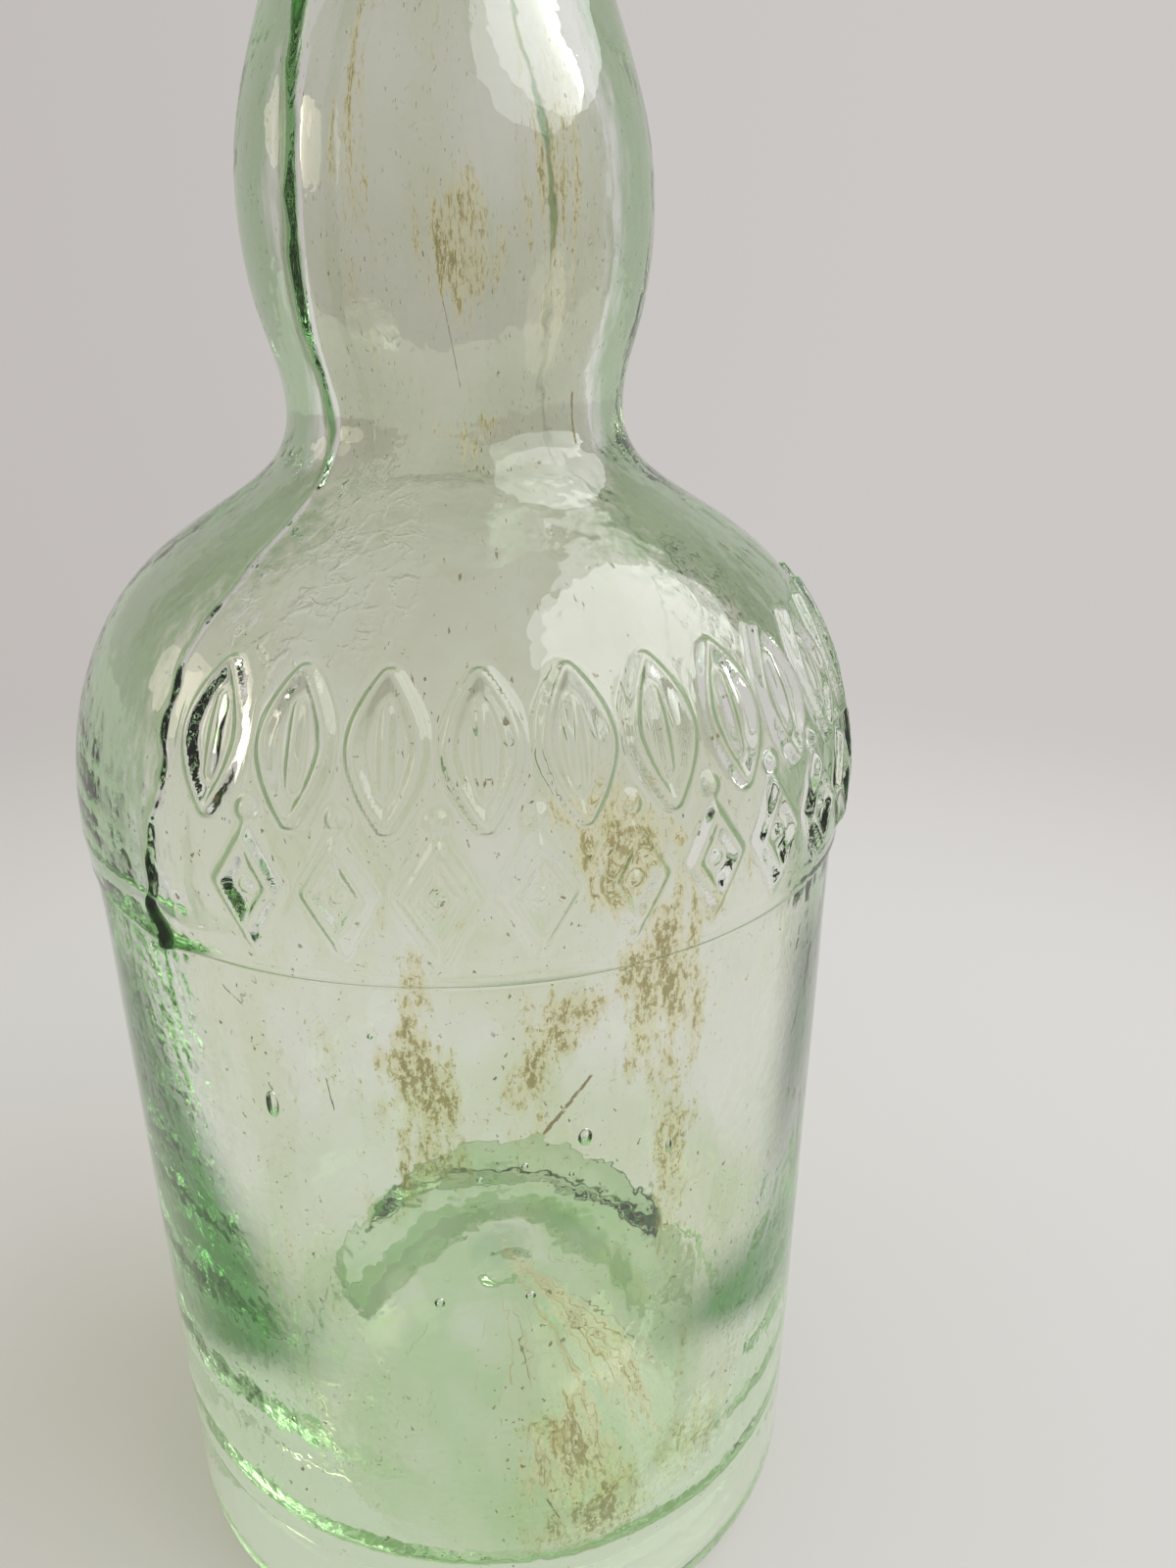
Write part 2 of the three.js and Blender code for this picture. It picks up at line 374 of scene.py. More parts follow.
def glassInside():
    g = glass
    floor = g["puntHeight"] + g["floorThickness"]
    wall = g["bodyRadius"] - g["bodyTaper"] - g["bodyWall"]
    valley = np.array((g["valleyRadius"], g["valleyHeight"]))
    swell, slope, waist, bulb, _ = shoulderAndNeck(g["bodyWall"], g["neckWall"])
    bore = station(g["boreRadius"], g["boreEnd"], 0, 0, g["boreHandle"], 0)
    path = Outline(0, floor).line(g["floorFlat"], floor, 8)
    path.cubic((g["floorFlat"] + g["floorHandle"], floor), valley - (g["valleyHandle"], 0), valley, 14)
    heel = (wall - g["heelLean"], valley[1] + g["heelRise"] / 2)
    path.cubic(valley + (g["valleyHandle"], 0), heel, (wall, valley[1] + g["heelRise"]), 11)
    path.line(g["bodyRadius"] - g["bodyWall"], g["seamHeight"], 10)
    path.line(*swell["point"])
    for lower, upper, steps in zip((swell, slope, waist, bulb), (slope, waist, bulb, bore), (12, 10, 8, 9)):
        path.cubic(lower["above"], upper["below"], upper["point"], steps)
    path.line(g["boreRadius"], drawnHeight - g["mouthRound"], 3)
    return path.array()


def seamAngles():
    return [math.radians(mould["seamAngle"] + half) for half in (0, 180)]


def glassAngles(count=600):
    # columns of the mesh, closest together at the upright seams, close under the ornament
    fine = np.linspace(-math.pi, math.pi, 7201)
    turn = np.degrees(fine)
    band = ease(turn, leafBand["first"] - 12, leafBand["first"] - 6)
    band *= 1 - ease(turn, leafBand["last"] + 6, leafBand["last"] + 12)
    density = 0.4 + 0.6 * band
    for seam in seamAngles():
        density += 2.4 * np.exp(-((np.degrees(turnAway(fine, seam)) / 3.5) ** 2))
    total = np.concatenate(((0,), np.cumsum((density[1:] + density[:-1]) / 2)))
    return np.interp(np.arange(count) / count * total[-1], total, fine)


def along(height, size, shift):  # uneven by height only
    return np.array([noise.noise((shift, 0.3, z / size)) for z in height[:, 0]])[:, None]


def mouldSeams(outline, angles):
    # the two upright ribs over the shoulder and neck, and the ring on which the shoulder moulds stood
    m = mould
    radius, height = outline[:, :1], outline[:, 1:]
    seamZ = glass["seamHeight"]
    lift = np.zeros((len(outline), len(angles)))
    above = ease(height, seamZ - 0.5, seamZ + 1) * (1 - ease(height, *m["seamEnd"]))
    near = np.zeros_like(lift)
    for side, seam in enumerate(seamAngles()):
        sway = 2.2 * along(height, 11, side) + 0.9 * along(height, 3.1, side + 5)
        away = turnAway(angles, seam + np.radians(m["seamWander"]) * sway) * radius
        uneven = 1 + 1.1 * along(height, 7, side + 2) + 0.9 * along(height, 2.2, side + 3)
        uneven = np.clip(uneven, 0.25, 1.6)
        proud = np.interp(height, *zip(*m["seamProud"]))
        width = m["seamWidth"] * (0.6 + proud) * (1 + 0.5 * along(height, 5, side + 8))
        lift += (1 - 0.6 * side) * proud * uneven * above * np.exp(-((away / width) ** 2))
        near = np.maximum(near, np.exp(-((turnAway(angles, seam) * radius / 6) ** 2)))
    front = 1 - ease(np.abs(turnAway(angles, math.radians(6))), math.radians(62), math.radians(96))
    uneven = 0.2 + front * (0.25 + 0.2 * np.sin(5 * angles + 1) + 0.15 * np.sin(13 * angles))
    ring = np.exp(-(((height - seamZ - 0.5) / m["ringWidth"]) ** 2))
    thick = np.exp(-(((height - seamZ - 0.6 - 0.5 * np.sin(9 * angles)) / (1.5 * m["ringWidth"])) ** 2))
    ribs = lift + m["ringProud"] * uneven * ring + m["ringBlob"] * near * thick
    # the step in the outline is eased away at the back, where the ring is worn
    softened = glass["seamStep"] * ease(height, seamZ - 8, seamZ)
    softened = softened * (1 - ease(height, seamZ, seamZ + glass["seamRise"])) * (1 - front)
    return ribs, softened


def leafRelief(outline, angles):
    # leaves drawn by a raised line, with a vein, a pellet between each two, and a row of lozenges below
    b = leafBand
    radius, height = outline[:, :1], outline[:, 1:]
    reach = np.cumsum(np.hypot(*np.gradient(outline, axis=0).T))[:, None]
    dome = (height[:, 0] > b["dome"][0]) & (height[:, 0] < b["dome"][1])
    first, last = math.radians(b["first"]), math.radians(b["last"])
    pitch = (last - first) / (b["count"] - 1)
    inside = ease(angles, first - pitch * 0.6, first - pitch * 0.5)
    inside = inside * (1 - ease(angles, last + pitch * 0.5, last + pitch * 0.6))
    between = ease(angles, first, first + 0.01) * (1 - ease(angles, last - 0.01, last))

    def across(offset):  # from the middle of the nearest motif
        share = (angles - first) / pitch - offset
        return (share - np.round(share)) * pitch * radius

    def above(level):  # along the dome from that height
        return reach - np.interp(level, height[dome, 0], reach[dome, 0])

    def line(distance):
        return np.exp(-((distance / b["line"]) ** 2))

    leafX, leafY = across(0), np.abs(above(b["leafZ"])) / (b["leafTall"] / 2)
    half = b["leafWide"] / 2 * np.maximum(1 - leafY**1.7, 0)
    leaf = line(np.abs(leafX) - half) * (1 - ease(leafY, 1, 1.1))
    vein = 0.75 * line(leafX * 1.2) * (1 - ease(leafY, 0.5, 0.7))
    gapX = across(0.5)
    pellet = ease(1 - np.hypot(gapX, above(b["pelletZ"])) / b["pelletRadius"], 0, 0.8)
    wide, tall = b["lozengeWide"] / 2, b["lozengeTall"] / 2
    lozengeY = above(b["lozengeZ"])
    share = np.abs(gapX) / wide + np.abs(lozengeY) / tall - 1
    lozenge = line(share * wide * tall / math.hypot(wide, tall))
    knob = ease(1 - np.hypot(gapX, lozengeY) / b["knob"], 0, 0.8)
    middle = np.maximum.reduce((0.8 * pellet, lozenge, 0.8 * knob)) * between
    return b["proud"] * inside * np.maximum.reduce((leaf, vein, middle))


def bubbleShells(outside):
    # closed hollows in the wall, facing inwards
    wall = outside[outside[:, 1] > glass["heelRadius"]]
    wall = wall[: np.argmax(wall[:, 1])]
    shells = []
    for turn, level, depth, across, tall, deep in bubbles:
        angle = math.radians(turn)
        radius = np.interp(level, wall[:, 1], wall[:, 0]) - depth
        ball = Outline(0, -1).arc((0, 0), (1, 1), -90, 90, 10).array()
        points, faces = turnedShell(around(ball, evenAngles(14)))
        out = np.array((math.sin(angle), -math.cos(angle), 0))
        side = np.array((math.cos(angle), math.sin(angle), 0))
        up = np.array((0, 0, 1))
        places = points[:, :1] * across * side + points[:, 1:2] * deep * out + points[:, 2:] * tall * up
        handed = np.linalg.det(np.stack((side, out, up)))
        turned = [face[::-1] for face in faces] if handed > 0 else faces
        shells.append((places + out * radius + up * level, turned))
    return shells


def addGlass():
    outside, inside = glassOutside(), glassInside()
    angles = glassAngles()
    points = around(outside, angles)
    calm = ease(outside[:, 1:], 1.5, 9) * ease(outside[:, :1], 0.5, 6)  # flat on its foot
    lift = calm * (mould["wave"] * lumps(points, 24, 1.6) + mould["ripple"] * lumps(points, 7, 2.5))
    ribs, softened = mouldSeams(outside, angles)
    outer = around(outside, angles, lift + ribs + softened + leafRelief(outside, angles))
    low, high = leafBand["rows"]
    coarse = 3  # away from the ornament the mesh has every third column
    steps = [1 if low < level < high else coarse for level in outside[:, 1]]
    outer = [ring[::step] for ring, step in zip(outer, steps)]
    ribs = np.concatenate([ribs[0, :1]] + [ring[::step] for ring, step in zip(ribs[1:], steps[1:])])
    angles = angles[::coarse]
    points = around(inside, angles)
    calm = ease(inside[:, :1], 0.5, 6) * (1 - ease(inside[:, 1:], *glass["corkZone"]))
    waves = mould["innerWave"] * lumps(points, 27, 1.8, 12)
    lift = calm * (waves + mould["innerRipple"] * lumps(points, 8, 2.5, 9))
    lift += glass["nubHeight"] * np.exp(-((inside[:, :1] / glass["nubRadius"]) ** 2))
    inner = around(inside, angles, -lift)
    inner[..., 0] += np.interp(inner[..., 2], *zip(*glass["offCentre"]))
    shell = turnedShell([*outer, *inner[::-1][1:]])
    mesh = joinShells("glass", [shell, *bubbleShells(outside)])
    index = np.arange(len(mesh.vertices))
    innerFace = (index >= len(ribs)) & (index < len(shell[0]))
    # the rib heights are kept for the finish, which paints shade on the ribs from them
    ribs = np.pad(np.clip(ribs / mould["shadedAt"], 0, 1), (0, len(index) - len(ribs)))
    for name, values in (("inner_face", innerFace), ("seam_rib_shade", ribs)):
        mesh.attributes.new(name, "FLOAT", "POINT").data.foreach_set("value", values.astype(np.float32))
    addPiece("bottle_glass", mesh, glassFinish(), "bottle", "green_glass", "glass_bottle")
    print("glass:", sum(len(face.vertices) - 2 for face in mesh.polygons), "triangles")


tint = dict(
    colour=(0.32, 0.79, 0.14), density=6.0,  # absorbs density times one less colour, in each metre
    ior=1.5, shadow=(0.87, 0.86, 0.82),
    # edge, neck, heel, rib, rim and nub are painted shade; edge, neck and heel stand partly for the longer
    # path through the glass
    edge=(0.045, 0.09, 0.04), neck=(0.30, 0.47, 0.25), heel=(0.05, 0.20, 0.045), ribShade=(0.08, 0.24, 0.06),
    floor=(0.36, 0.66, 0.26), rim=(0.24, 0.41, 0.21), nubShade=(0.25, 0.48, 0.22), foot=(0.88, 0.97, 0.82),
)

tintZones = dict(  # heights and radii, and how far the surface turns away from the eye, from 0 to 1, of the tints and the painted shade
    base=(30, 40), shoulder=(99, 120), ribs=(0.1, 0.5),
    skin=(0.58, 0.76), skinAbove=0.22, skinRagged=0.3, skinHeight=(40, 80), neckHeight=(92, 102),
    heel=(0.38, 0.55), heelMiddle=50, heelCurve=0.00015, heelFoot=(57, 64), heelSlant=26, heelTop=(84, 98),
    heelGlance=(0.64, 0.86), heelClearX=(-10, 15), heelClearZ=(51, 62),
    rimInside=(23, 28), rimOutside=(33, 36), rimBack=(-16, 8), rimShare=0.4,
    floorEdge=(33, 37), nubEdge=(1.5, 5.5), nubShare=0.7,
)

dirt = dict(  # what has dried on the inside, and a painted shade on the inside of the shoulder and neck
    zones=(  # angle, height, reach round and upwards, and strength
        (-9, 89, 5, 16, 1.4), (-4, 83, 3, 9, 1.1), (6, 91, 5, 10, 1.3), (12, 96, 8, 5, 1.1),
        (24, 99, 10, 12, 1.3), (28, 78, 6, 22, 1.1), (-22, 90, 14, 22, 0.3), (18, 115, 9, 9, 1.1),
        (30, 108, 12, 8, 0.8), (-12, 108, 20, 6, 0.3), (9, 38, 5, 5, 0.9), (17, 21, 15, 7, 1.3),
        (36, 27, 12, 12, 1.0), (32, 44, 6, 9, 0.7), (-30, 62, 14, 18, 0.3), (-16, 74, 8, 12, 0.5),
        (-28, 180, 8, 26, 0.8), (2, 168, 14, 7, 1.2), (34, 174, 16, 18, 0.9), (6, 150, 18, 3, 0.9),
        (-6, 188, 8, 10, 0.4),
    ),
    bare=-0.6, wobble=16, streaks=3.6, grains=3.6,
    # painted shade on the inside of the shoulder and neck: the heights where it comes in and fades, and its
    # colour on the next line
    paintedShadeFrom=(100, 134), paintedShadeTo=(150, 190),
    film=(0.80, 0.85, 0.62), paintedShade=(0.57, 0.60, 0.46), stain=(0.82, 0.76, 0.42), grit=(0.44, 0.35, 0.08),
    crust=(0.24, 0.18, 0.05),
)

surface = dict(
    streak=0.08, pit=0.024, crackle=0.12,  # depths in drawn millimetres
    crackleAt=(-24.0, 139.5), crackleReach=(19.0, 10.0),  # angle and height
    scratches=(  # angle and height of both ends, and width
        (13.9, 90.5, 7.2, 83.9, 0.26), (-2.7, 164.0, 1.4, 155.0, 0.10), (38.5, 154.5, 39.5, 149.0, 0.45),
        (-20, 91, -19.3, 87, 0.10), (7, 30.5, 9, 26.5, 0.14), (-34, 99.5, -31, 97.8, 0.10),
    ),
)

perDegree = math.radians(1) * glass["bodyRadius"]  # along the body


def driedSoil(f, angle, arc, height):
    # how thick the dirt lies inside, in ragged streaks
    wobbleX, wobbleZ = (
        (f.patches(f.vector(arc / 7, height / 9, layer)) - 0.5) * dirt["wobble"] for layer in (21.0, 27.0)
    )
    zones = []
    for centre, level, wide, tall, strength in dirt["zones"]:
        offX = (angle + wobbleX - centre) / wide
        offZ = (height + wobbleZ - level) / tall
        zones.append(strength - (offX * offX + offZ * offZ))
    streaks = f.patches(f.vector(arc / 2.2, height / 9, 0.0), 5.0) - 0.5
    return reduce(Wire.most, zones).most(dirt["bare"]) + streaks * dirt["streaks"]


def scratchMarks(f, arc, height, outer):
    wobble = (f.patches(f.vector(arc / 0.8, height / 0.8, 11.0)) - 0.5) * 0.5
    marks = []
    for fromTurn, fromZ, toTurn, toZ, width in surface["scratches"]:
        run, rise = (toTurn - fromTurn) * perDegree, toZ - fromZ
        length = math.hypot(run, rise)
        offX, offZ = arc - fromTurn * perDegree, height - fromZ
        part = (offX * run + offZ * rise) / length**2
        side = (offX * rise - offZ * run) / length + wobble
        mark = 1 - (side * side).ramp(width**2 * 0.3, width**2)
        marks.append(mark * part.ramp(0, 0.05) * (1 - part.ramp(0.95, 1)))
    return reduce(Wire.most, marks) * outer * f.patches(f.vector(arc, height, 15.0)).ramp(0.3, 0.5)


def skinRelief(f, place, angle, broad, outer):
    # streaks left by the mould, pitting, and a crackled patch on the shoulder
    x, y, height = place
    flowing = f.patches(f.vector(x / 2.4, y / 2.4, height / 6), 1.0, 0.45) * broad.ramp(0.3, 0.7)
    pits = f.patches(f.vector(x / 1.6, y / 1.6, height / 1.6), 1.0, 0.35)
    bent = f.patches(f.vector(x / 3, y / 3, height / 3)) * 1.6
    cells = f.node("TexVoronoi", {"feature": "DISTANCE_TO_EDGE"}, {
        "Vector": f.vector(x / 2.6 + bent, y / 2.6 + bent, height / 3.4), "Scale": 1.0,
    })
    turn, level = surface["crackleAt"]
    wide, tall = surface["crackleReach"]
    up, aside = (height - level) / tall, (angle - turn) / wide
    crackled = (1 - (up * up + aside * aside)).most(0).ramp(0, 0.5)
    crackled = crackled * f.patches(f.vector(x / 5, y / 5, height / 5)).ramp(0.42, 0.6)
    cracks = (1 - cells.ramp(0, 0.16)) * crackled * outer * surface["crackle"]
    relief = flowing * surface["streak"] + pits * surface["pit"] - cracks
    return f.node("Bump", {}, {"Height": relief, "Strength": 1.0, "Distance": mm})


def edgeAndHeelShade(f, place, outer):
    # the glass darkens where it is seen along its skin, more over the shoulder and most in the thick heel:
    # partly the longer path through the glass, partly painted shade for dark surroundings seen at its edges
    z = tintZones
    x, y, height = place
    facing = f.node("LayerWeight", {}, {"Blend": 0.5}, output="Facing")
    shoulder = height.ramp(*z["shoulder"])
    ragged = (f.patches(f.vector(x / 1.4, y / 1.4, height / 8), 4.0) - 0.5) * shoulder
    skin = facing + shoulder * z["skinAbove"] + ragged * z["skinRagged"]
    skin = skin.ramp(*z["skin"]) * height.ramp(*z["skinHeight"]) * outer
    over = (height - z["heelMiddle"]).most(0)
    heel = (facing - over * over * z["heelCurve"]).ramp(*z["heel"])
    heel = heel * (height + facing * z["heelSlant"]).ramp(*z["heelFoot"]) * (1 - height.ramp(*z["heelTop"]))
    heel = heel * (1 - facing.ramp(*z["heelGlance"]) * 0.25)
    heel = heel * (1 - x.ramp(*z["heelClearX"]) * height.ramp(*z["heelClearZ"]) * 0.9) * outer
    tone = f.blend(height.ramp(*z["neckHeight"]), tint["edge"], tint["neck"])
    return [(heel, tint["heel"]), (skin, tone)]


def floorTintsAndShade(f, place, low, inner):
    # the raised floor is greener, with painted shade on its rim at the back and on the nub in the middle
    z = tintZones
    x, y, _ = place
    out = x * x + y * y

    def beyond(radii):
        return out.ramp(radii[0] ** 2, radii[1] ** 2)

    watery = f.patches(f.vector(x / 13, y / 13, 40.0), 2.0).ramp(0.35, 0.65)
    floor = low * (watery * 0.4 + 0.45) * (1 - beyond(z["floorEdge"])) * inner
    # painted shade: the rim at the back and the nub are darkened
    rim = beyond(z["rimInside"]) * (1 - beyond(z["rimOutside"])) * y.ramp(*z["rimBack"]) * low * inner
    nubShade = (1 - beyond(z["nubEdge"])) * low * inner
    return [(floor, tint["floor"]), (rim * z["rimShare"], tint["rim"]), (nubShade * z["nubShare"], tint["nubShade"])]


def glassFinish():
    f = newFinish("green_glass")
    place = x, y, height = f.places()
    angle = x.maths("ARCTAN2", x, y * -1) * math.degrees(1)
    arc = angle * perDegree
    inner = f.node("Attribute", {"attribute_name": "inner_face"}, output="Fac")
    outer = 1 - inner
    # how high the seam rib stands, which sets its painted dark green shade, standing for the dark its sharp
    # sides show by refraction
    ribShade = f.node("Attribute", {"attribute_name": "seam_rib_shade"}, output="Fac")
    broad = f.patches(f.vector(x / 16, y / 16, height / 30))
    low = 1 - height.ramp(*tintZones["base"])

    soil = driedSoil(f, angle, arc, height)
    grains = f.patches(f.vector(arc / 0.7, height / 1.3, 4.0), 6.0, 0.8) - 0.5
    stain = soil.ramp(0.3, 1.2) * inner
    grit = (soil * 0.42 + grains * dirt["grains"]).ramp(0.44, 0.66) * inner
    film = (broad.ramp(0.4, 0.66) * 0.7 + 0.15) * inner
    # painted shade: the inside of the shoulder and neck is darkened, mottled by broad noise
    paintedShade = height.ramp(*dirt["paintedShadeFrom"]) * (1 - height.ramp(*dirt["paintedShadeTo"]) * 0.6)
    paintedShade = paintedShade * (broad * 0.8 + 0.4).least(1) * inner
    crust = grit * soil.ramp(0.7, 1.5)
    specks = f.patches(f.vector(arc / 0.9, height / 1.3, 31.0), 2.0).ramp(0.665, 0.70)
    specks = specks * broad.ramp(0.42, 0.6) * inner

    layers = [(low * outer, tint["foot"]), (film, dirt["film"]), (paintedShade, dirt["paintedShade"])]
    layers += floorTintsAndShade(f, place, low, inner)
    layers += [(stain, dirt["stain"]), (grit, dirt["grit"]), (ribShade.ramp(*tintZones["ribs"]), tint["ribShade"])]
    layers += edgeAndHeelShade(f, place, outer)
    colour = (1, 1, 1)
    for share, tone in layers:
        colour = f.blend(share, colour, tone)
    clear = f.node("BsdfPrincipled", {}, {
        "Base Color": colour, "Roughness": stain * 0.06 + grit * 0.15 + film * 0.02,
        "IOR": tint["ior"], "Transmission Weight": 1.0, "Normal": skinRelief(f, place, angle, broad, outer),
    })
    earth = f.node("BsdfPrincipled", {}, {"Base Color": dirt["crust"], "Roughness": 0.9})
    covered = (crust * 0.45).most(specks * 0.8).most(scratchMarks(f, arc, height, outer) * 0.8)
    both = f.node("MixShader", {}, {0: covered, 1: clear, 2: earth})
    pale = f.node("BsdfTransparent", {}, {"Color": tint["shadow"]})  # lets lamp light through to the floor
    rays = f.node("LightPath")
    straight = rays.output("Is Shadow Ray").most(rays.output("Is Diffuse Ray"))
    lit = f.node("MixShader", {}, {0: straight, 1: both, 2: pale})
    volume = f.node("VolumeAbsorption", {}, {"Color": tint["colour"], "Density": tint["density"]})
    f.node("OutputMaterial", {}, {"Surface": lit, "Volume": volume})
    return f


# Stopper

stopper = dict(
    corkLength=25.0, corkTaper=0.5, corkChamfer=1.0, corkFit=0.3,
    socketDepth=4.0, headOverhang=1.1, headCap=4.7, headFoot=3.6, coveHeight=4.1, coveDepth=1.7,
    headCrown=3.2, crownHandle=9.0, headEdge=0.8,
    dowelRadius=2.6, dowelInHead=6.0, dowelInCork=14.0, dowelFit=0.3, dowelChamfer=0.5, seatGap=0.3,
)


def corkOutline():
    s = stopper
    radius = glass["boreRadius"] - s["corkFit"]
    bottomRadius = radius - s["corkTaper"]
    bottom = drawnHeight - s["corkLength"]
    socket = drawnHeight + s["seatGap"] + s["socketDepth"]
    top = socket - s["seatGap"]
    drill = s["dowelRadius"] + s["dowelFit"]
    drillEnd = socket - s["dowelInCork"] - s["dowelFit"]
    path = Outline(0, bottom)
    path.line(bottomRadius - s["corkChamfer"], bottom, 8)
    path.line(bottomRadius, bottom + s["corkChamfer"], 3)
    path.line(radius, drawnHeight, 36)
    path.line(radius, top, 4)
    path.line(drill, top, 3)
    path.line(drill, drillEnd, 3)
    path.line(0, drillEnd, 2)
    return path.array()


def headOutline():
    s = stopper
    collar = glass["boreRadius"] + glass["lipWall"] + glass["collarProud"]
    radius = collar - glass["collarTaper"] + s["headOverhang"]
    foot = drawnHeight + s["seatGap"]
    socket = foot + s["socketDepth"]
    socketRadius = glass["boreRadius"] - s["corkFit"] + s["seatGap"]
    drill = s["dowelRadius"] + s["dowelFit"]
    drillEnd = socket + s["dowelInHead"] + s["dowelFit"]
    top = drillEnd + s["headCap"]
    cove = foot + s["headFoot"]
    path = Outline(0, drillEnd)
    path.line(drill, drillEnd, 2)
    path.line(drill, socket, 2)
    path.line(socketRadius, socket, 2)
    path.line(socketRadius, foot, 2)
    path.line(radius - s["headEdge"], foot, 3)
    path.arc((radius - s["headEdge"], foot + s["headEdge"]), (s["headEdge"], s["headEdge"]), -90, 0, 5)
    path.line(radius, cove, 4)
    path.arc((radius, cove + s["coveHeight"] / 2), (-s["coveDepth"], s["coveHeight"] / 2), -90, 90, 12)
    path.line(radius, top - s["headCrown"], 4)
    path.cubic((radius, top), (s["crownHandle"], top), (0, top), 16)
    return path.array()


def dowelOutline():
    s = stopper
    socket = drawnHeight + s["seatGap"] + s["socketDepth"]
    bottom, top = socket - s["dowelInCork"], socket + s["dowelInHead"]
    radius, edge = s["dowelRadius"], s["dowelChamfer"]
    path = Outline(0, bottom)
    path.line(radius - edge, bottom, 2).line(radius, bottom + edge)
    path.line(radius, top - edge, 8).line(radius - edge, top).line(0, top, 2)
    return path.array()


cork = dict(
    light=(0.50, 0.31, 0.155), deep=(0.30, 0.165, 0.07), pit=(0.09, 0.045, 0.018), pitDepth=0.28,
    wet=(0.24, 0.12, 0.05),  # the end that has stood in the drink
)

wood = dict(
    light=(0.27, 0.125, 0.055), dark=(0.115, 0.046, 0.02), worn=(0.38, 0.2, 0.1), pith=(9.0, 14.0),
    ringGap=1.5, lathe=0.02, pore=0.03, dent=0.12, wornReach=0.55,
)

dowel = dict(light=(0.56, 0.38, 0.2), dark=(0.38, 0.23, 0.11))


def corkFinish():
    f = newFinish("cork")
    x, y, height = f.places()
    grain = f.patches(f.vector(x / 1.3, y / 1.3, height / 0.9), 4.0)
    bands = f.patches(f.vector(x / 7, y / 2.6, height / 5), 3.0)
    pores = f.patches(f.vector(x / 0.9, y / 2.2, height / 0.55), 2.0).ramp(0.64, 0.74)
    colour = f.blend((grain * 0.6 + bands * 0.7).ramp(0.45, 0.85), cork["light"], cork["deep"])
    bottom = drawnHeight - stopper["corkLength"]
    soaked = 1 - (height + bands * 6).ramp(bottom + 3, bottom + 9)
    colour = f.blend(soaked * 0.8, colour, cork["wet"])
    colour = f.blend(pores, colour, cork["pit"])
    bump = f.node("Bump", {}, {"Height": grain * 0.2 - pores * 0.3, "Strength": 0.8, "Distance": mm})
    skin = f.node("BsdfPrincipled", {}, {
        "Base Color": colour, "Roughness": 0.85 - soaked * 0.2, "Normal": bump,
    })
    f.node("OutputMaterial", {}, {"Surface": skin})
    return f


def woodFinish():
    f = newFinish("turned_wood")
    x, y, height = f.places()
    offX, offY = x - wood["pith"][0], y - wood["pith"][1]
    bend = f.patches(f.vector(x / 9, y / 9, height / 30)) * 4
    ring = ((offX * offX + offY * offY) ** 0.5 + bend) / wood["ringGap"]
    share = ring.maths("FRACT", ring, 0.0)
    late = share.ramp(0.35, 0.92) * (1 - share.ramp(0.94, 1.0))
    pores = f.patches(f.vector(x / 0.35, y / 0.35, height / 7), 2.0).ramp(0.56, 0.68)
    tone = f.patches(f.vector(x / 3, y / 3, height / 22), 4.0)
    colour = f.blend((late * 0.55 + tone * 0.6).ramp(0.2, 0.85), wood["light"], wood["dark"])
    colour = f.blend(pores * 0.6, colour, wood["dark"])
    foot = drawnHeight + stopper["seatGap"]
    cove = foot + stopper["headFoot"]
    rub = f.patches(f.vector(x / 2, y / 2, height / 2), 4.0)
    edges = []
    for level in (foot + 0.4, cove, cove + stopper["coveHeight"]):
        off = (height - level) / wood["wornReach"]
        edges.append((1 - off * off).most(0))
    colour = f.blend(reduce(Wire.most, edges) * rub.ramp(0.42, 0.62) * 0.75, colour, wood["worn"])
    lathe = f.patches(f.vector(0.0, 0.0, height / 0.16), 2.0)
    relief = lathe * wood["lathe"] - pores * wood["pore"]
    bump = f.node("Bump", {}, {"Height": relief, "Strength": 1.0, "Distance": mm})
    skin = f.node("BsdfPrincipled", {}, {
        "Base Color": colour, "Roughness": 0.34 + pores * 0.25 + rub * 0.12, "Normal": bump,
    })
    f.node("OutputMaterial", {}, {"Surface": skin})
    return f


def dowelFinish():
    f = newFinish("dowel_wood")
    x, y, height = f.places()
    grain = f.patches(f.vector(x / 0.5, y / 0.5, height / 9), 3.0)
    colour = f.blend(grain.ramp(0.35, 0.7), dowel["light"], dowel["dark"])
    bump = f.node("Bump", {}, {"Height": grain * 0.1, "Strength": 0.6, "Distance": mm})
    skin = f.node("BsdfPrincipled", {}, {"Base Color": colour, "Roughness": 0.7, "Normal": bump})
    f.node("OutputMaterial", {}, {"Surface": skin})
    return f


def addStopper():
    outline, angles = corkOutline(), evenAngles(120)
    points = around(outline, angles)
    pits = ease(lumps(points, 1.9, 0.7) + 0.5 * lumps(points, 5.0, 1.0, 3), 0.3, 0.6)
    mesh = joinShells("stopper_cork", [turnedShell(around(outline, angles, -cork["pitDepth"] * pits))])
    addPiece("stopper_cork", mesh, corkFinish(), "stopper", "cork", "cork_shank")
    outline = headOutline()
    points = around(outline, angles)
    dents = ease(lumps(points, 4.5, 1.0, 7), 0.42, 0.62) * ease(outline[:, :1], 11, 14)
    mesh = joinShells("stopper_knob", [turnedShell(around(outline, angles, -wood["dent"] * dents))])
    addPiece("stopper_knob", mesh, woodFinish(), "stopper", "turned_wood", "stopper_head")
    mesh = joinShells("stopper_pin", [turnedShell(around(dowelOutline(), evenAngles(40)))])
    addPiece("stopper_pin", mesh, dowelFinish(), "stopper", "dowel_wood", "stopper_dowel")
    print("stopper: cork, knob and pin")


# Stage, light and camera

